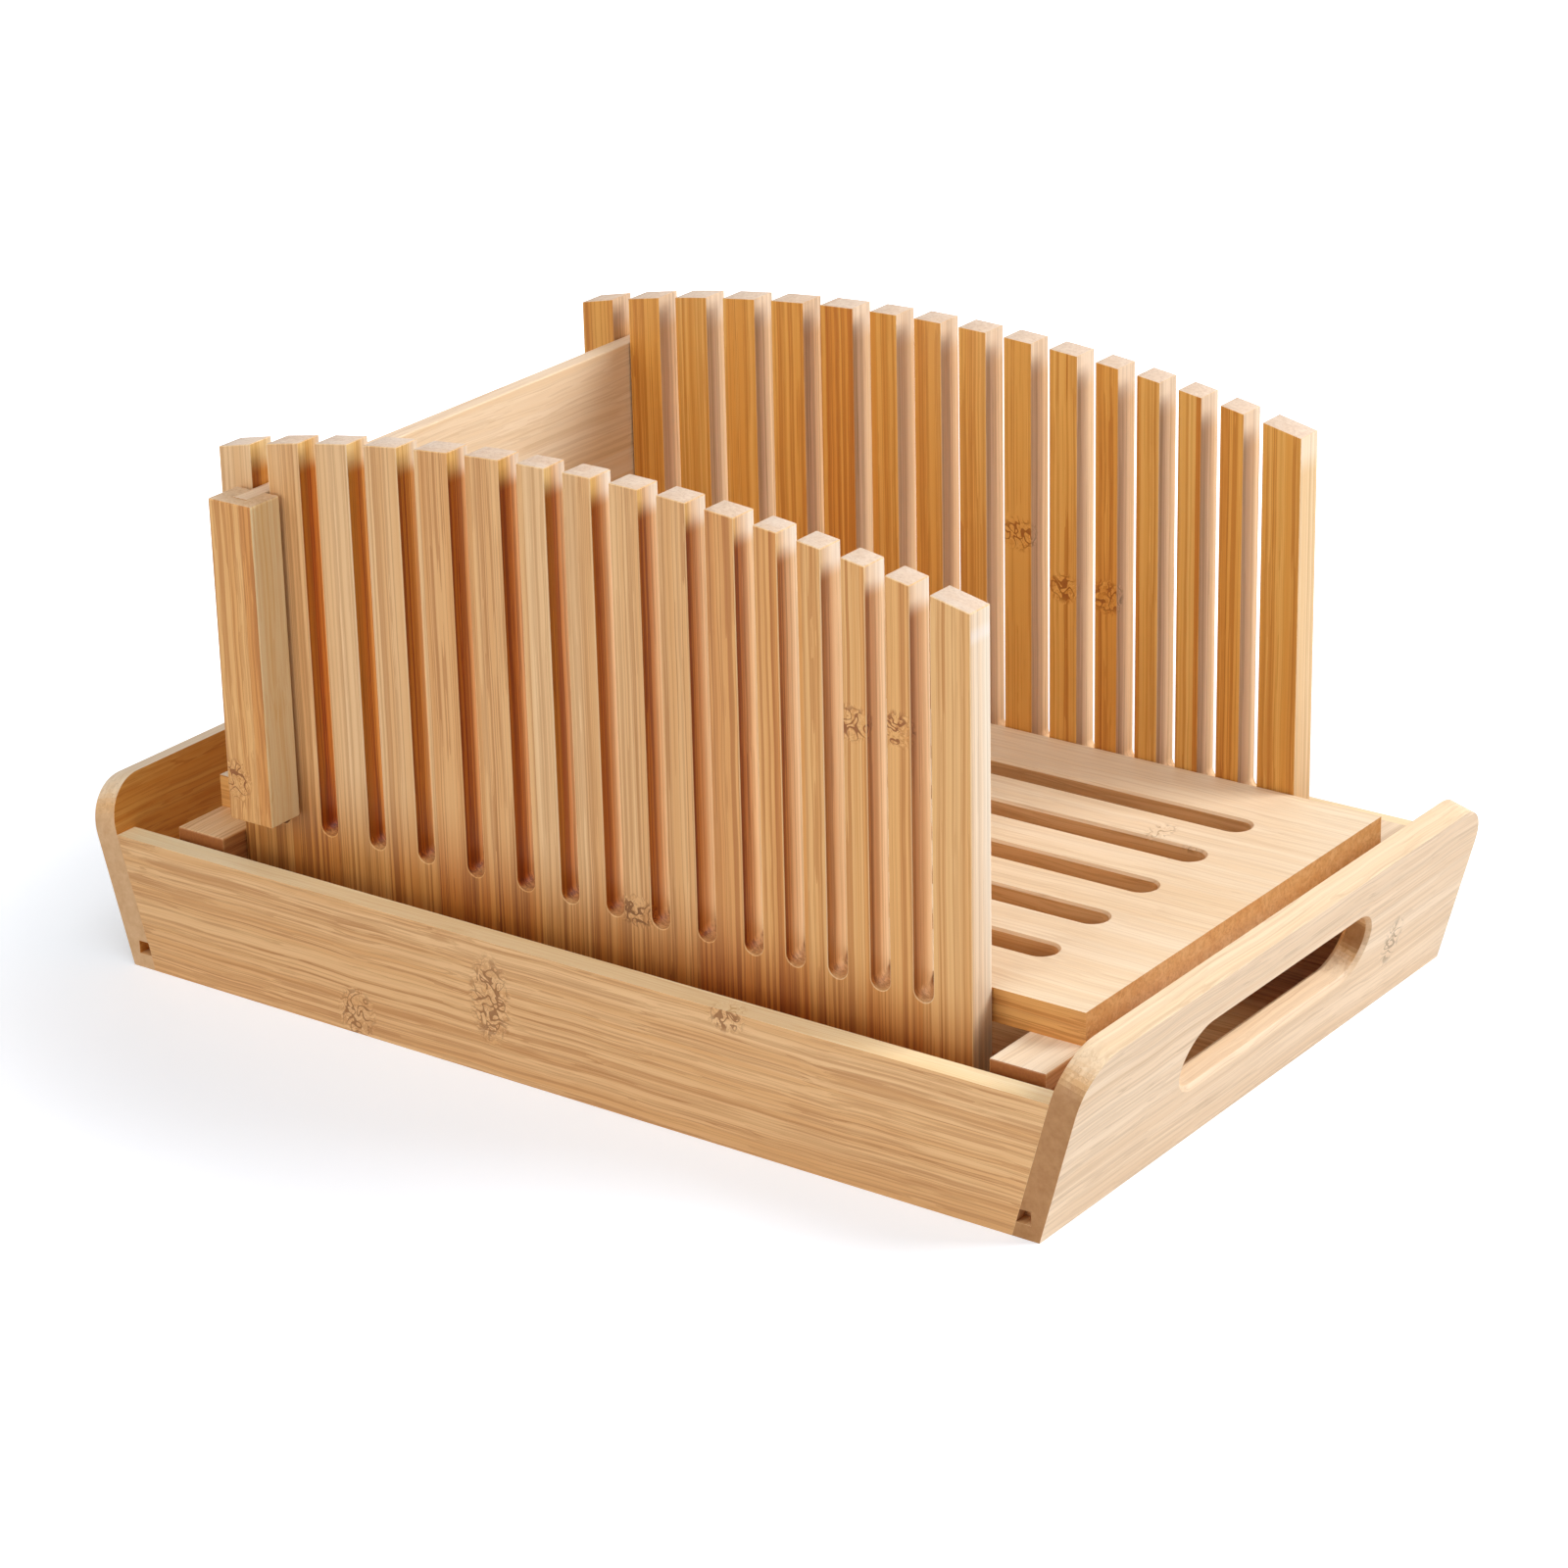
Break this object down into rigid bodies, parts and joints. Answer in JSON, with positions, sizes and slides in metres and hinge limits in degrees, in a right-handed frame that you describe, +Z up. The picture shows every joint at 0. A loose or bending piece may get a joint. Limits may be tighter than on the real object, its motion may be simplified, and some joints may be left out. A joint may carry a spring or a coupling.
{
  "type": "bread slicer guide",
  "caption": "Bamboo bread slicing guide with slotted comb panels, a lift-out back board and a crumb tray with handle holes.",
  "frame": {"origin": "on the table under the middle of the tray", "axes": "+X towards the open end where the loaf goes in, -Y the near side with the front panel, +Z up"},
  "size_m": [0.332, 0.204, 0.1673],
  "materials": {
    "tray_bamboo": "satin",
    "guide_bamboo": "satin",
    "dowel_wood": "matte"
  },
  "bodies": {
    "tray": {"tray_front_end": "tray_bamboo", "tray_rear_end": "tray_bamboo", "tray_near_side": "tray_bamboo", "tray_far_side": "tray_bamboo", "tray_floor": "tray_bamboo", "tray_dowels": "dowel_wood"},
    "guide": {"base_board": "guide_bamboo", "front_rail": "guide_bamboo", "rear_rail": "guide_bamboo", "near_panel": "guide_bamboo", "far_panel": "guide_bamboo", "panel_dowels": "dowel_wood"},
    "back_board": {"back_board": "guide_bamboo", "near_cleat": "guide_bamboo", "far_cleat": "guide_bamboo"}
  },
  "joints": [
    {"name": "guide_lift", "type": "slide", "parent": "tray", "child": "guide", "axis": [0, 0, 1], "range_m": [0, 0.06]},
    {"name": "back_board_lift", "type": "slide", "parent": "guide", "child": "back_board", "axis": [0, 0, 1], "range_m": [0, 0.11]}
  ]
}
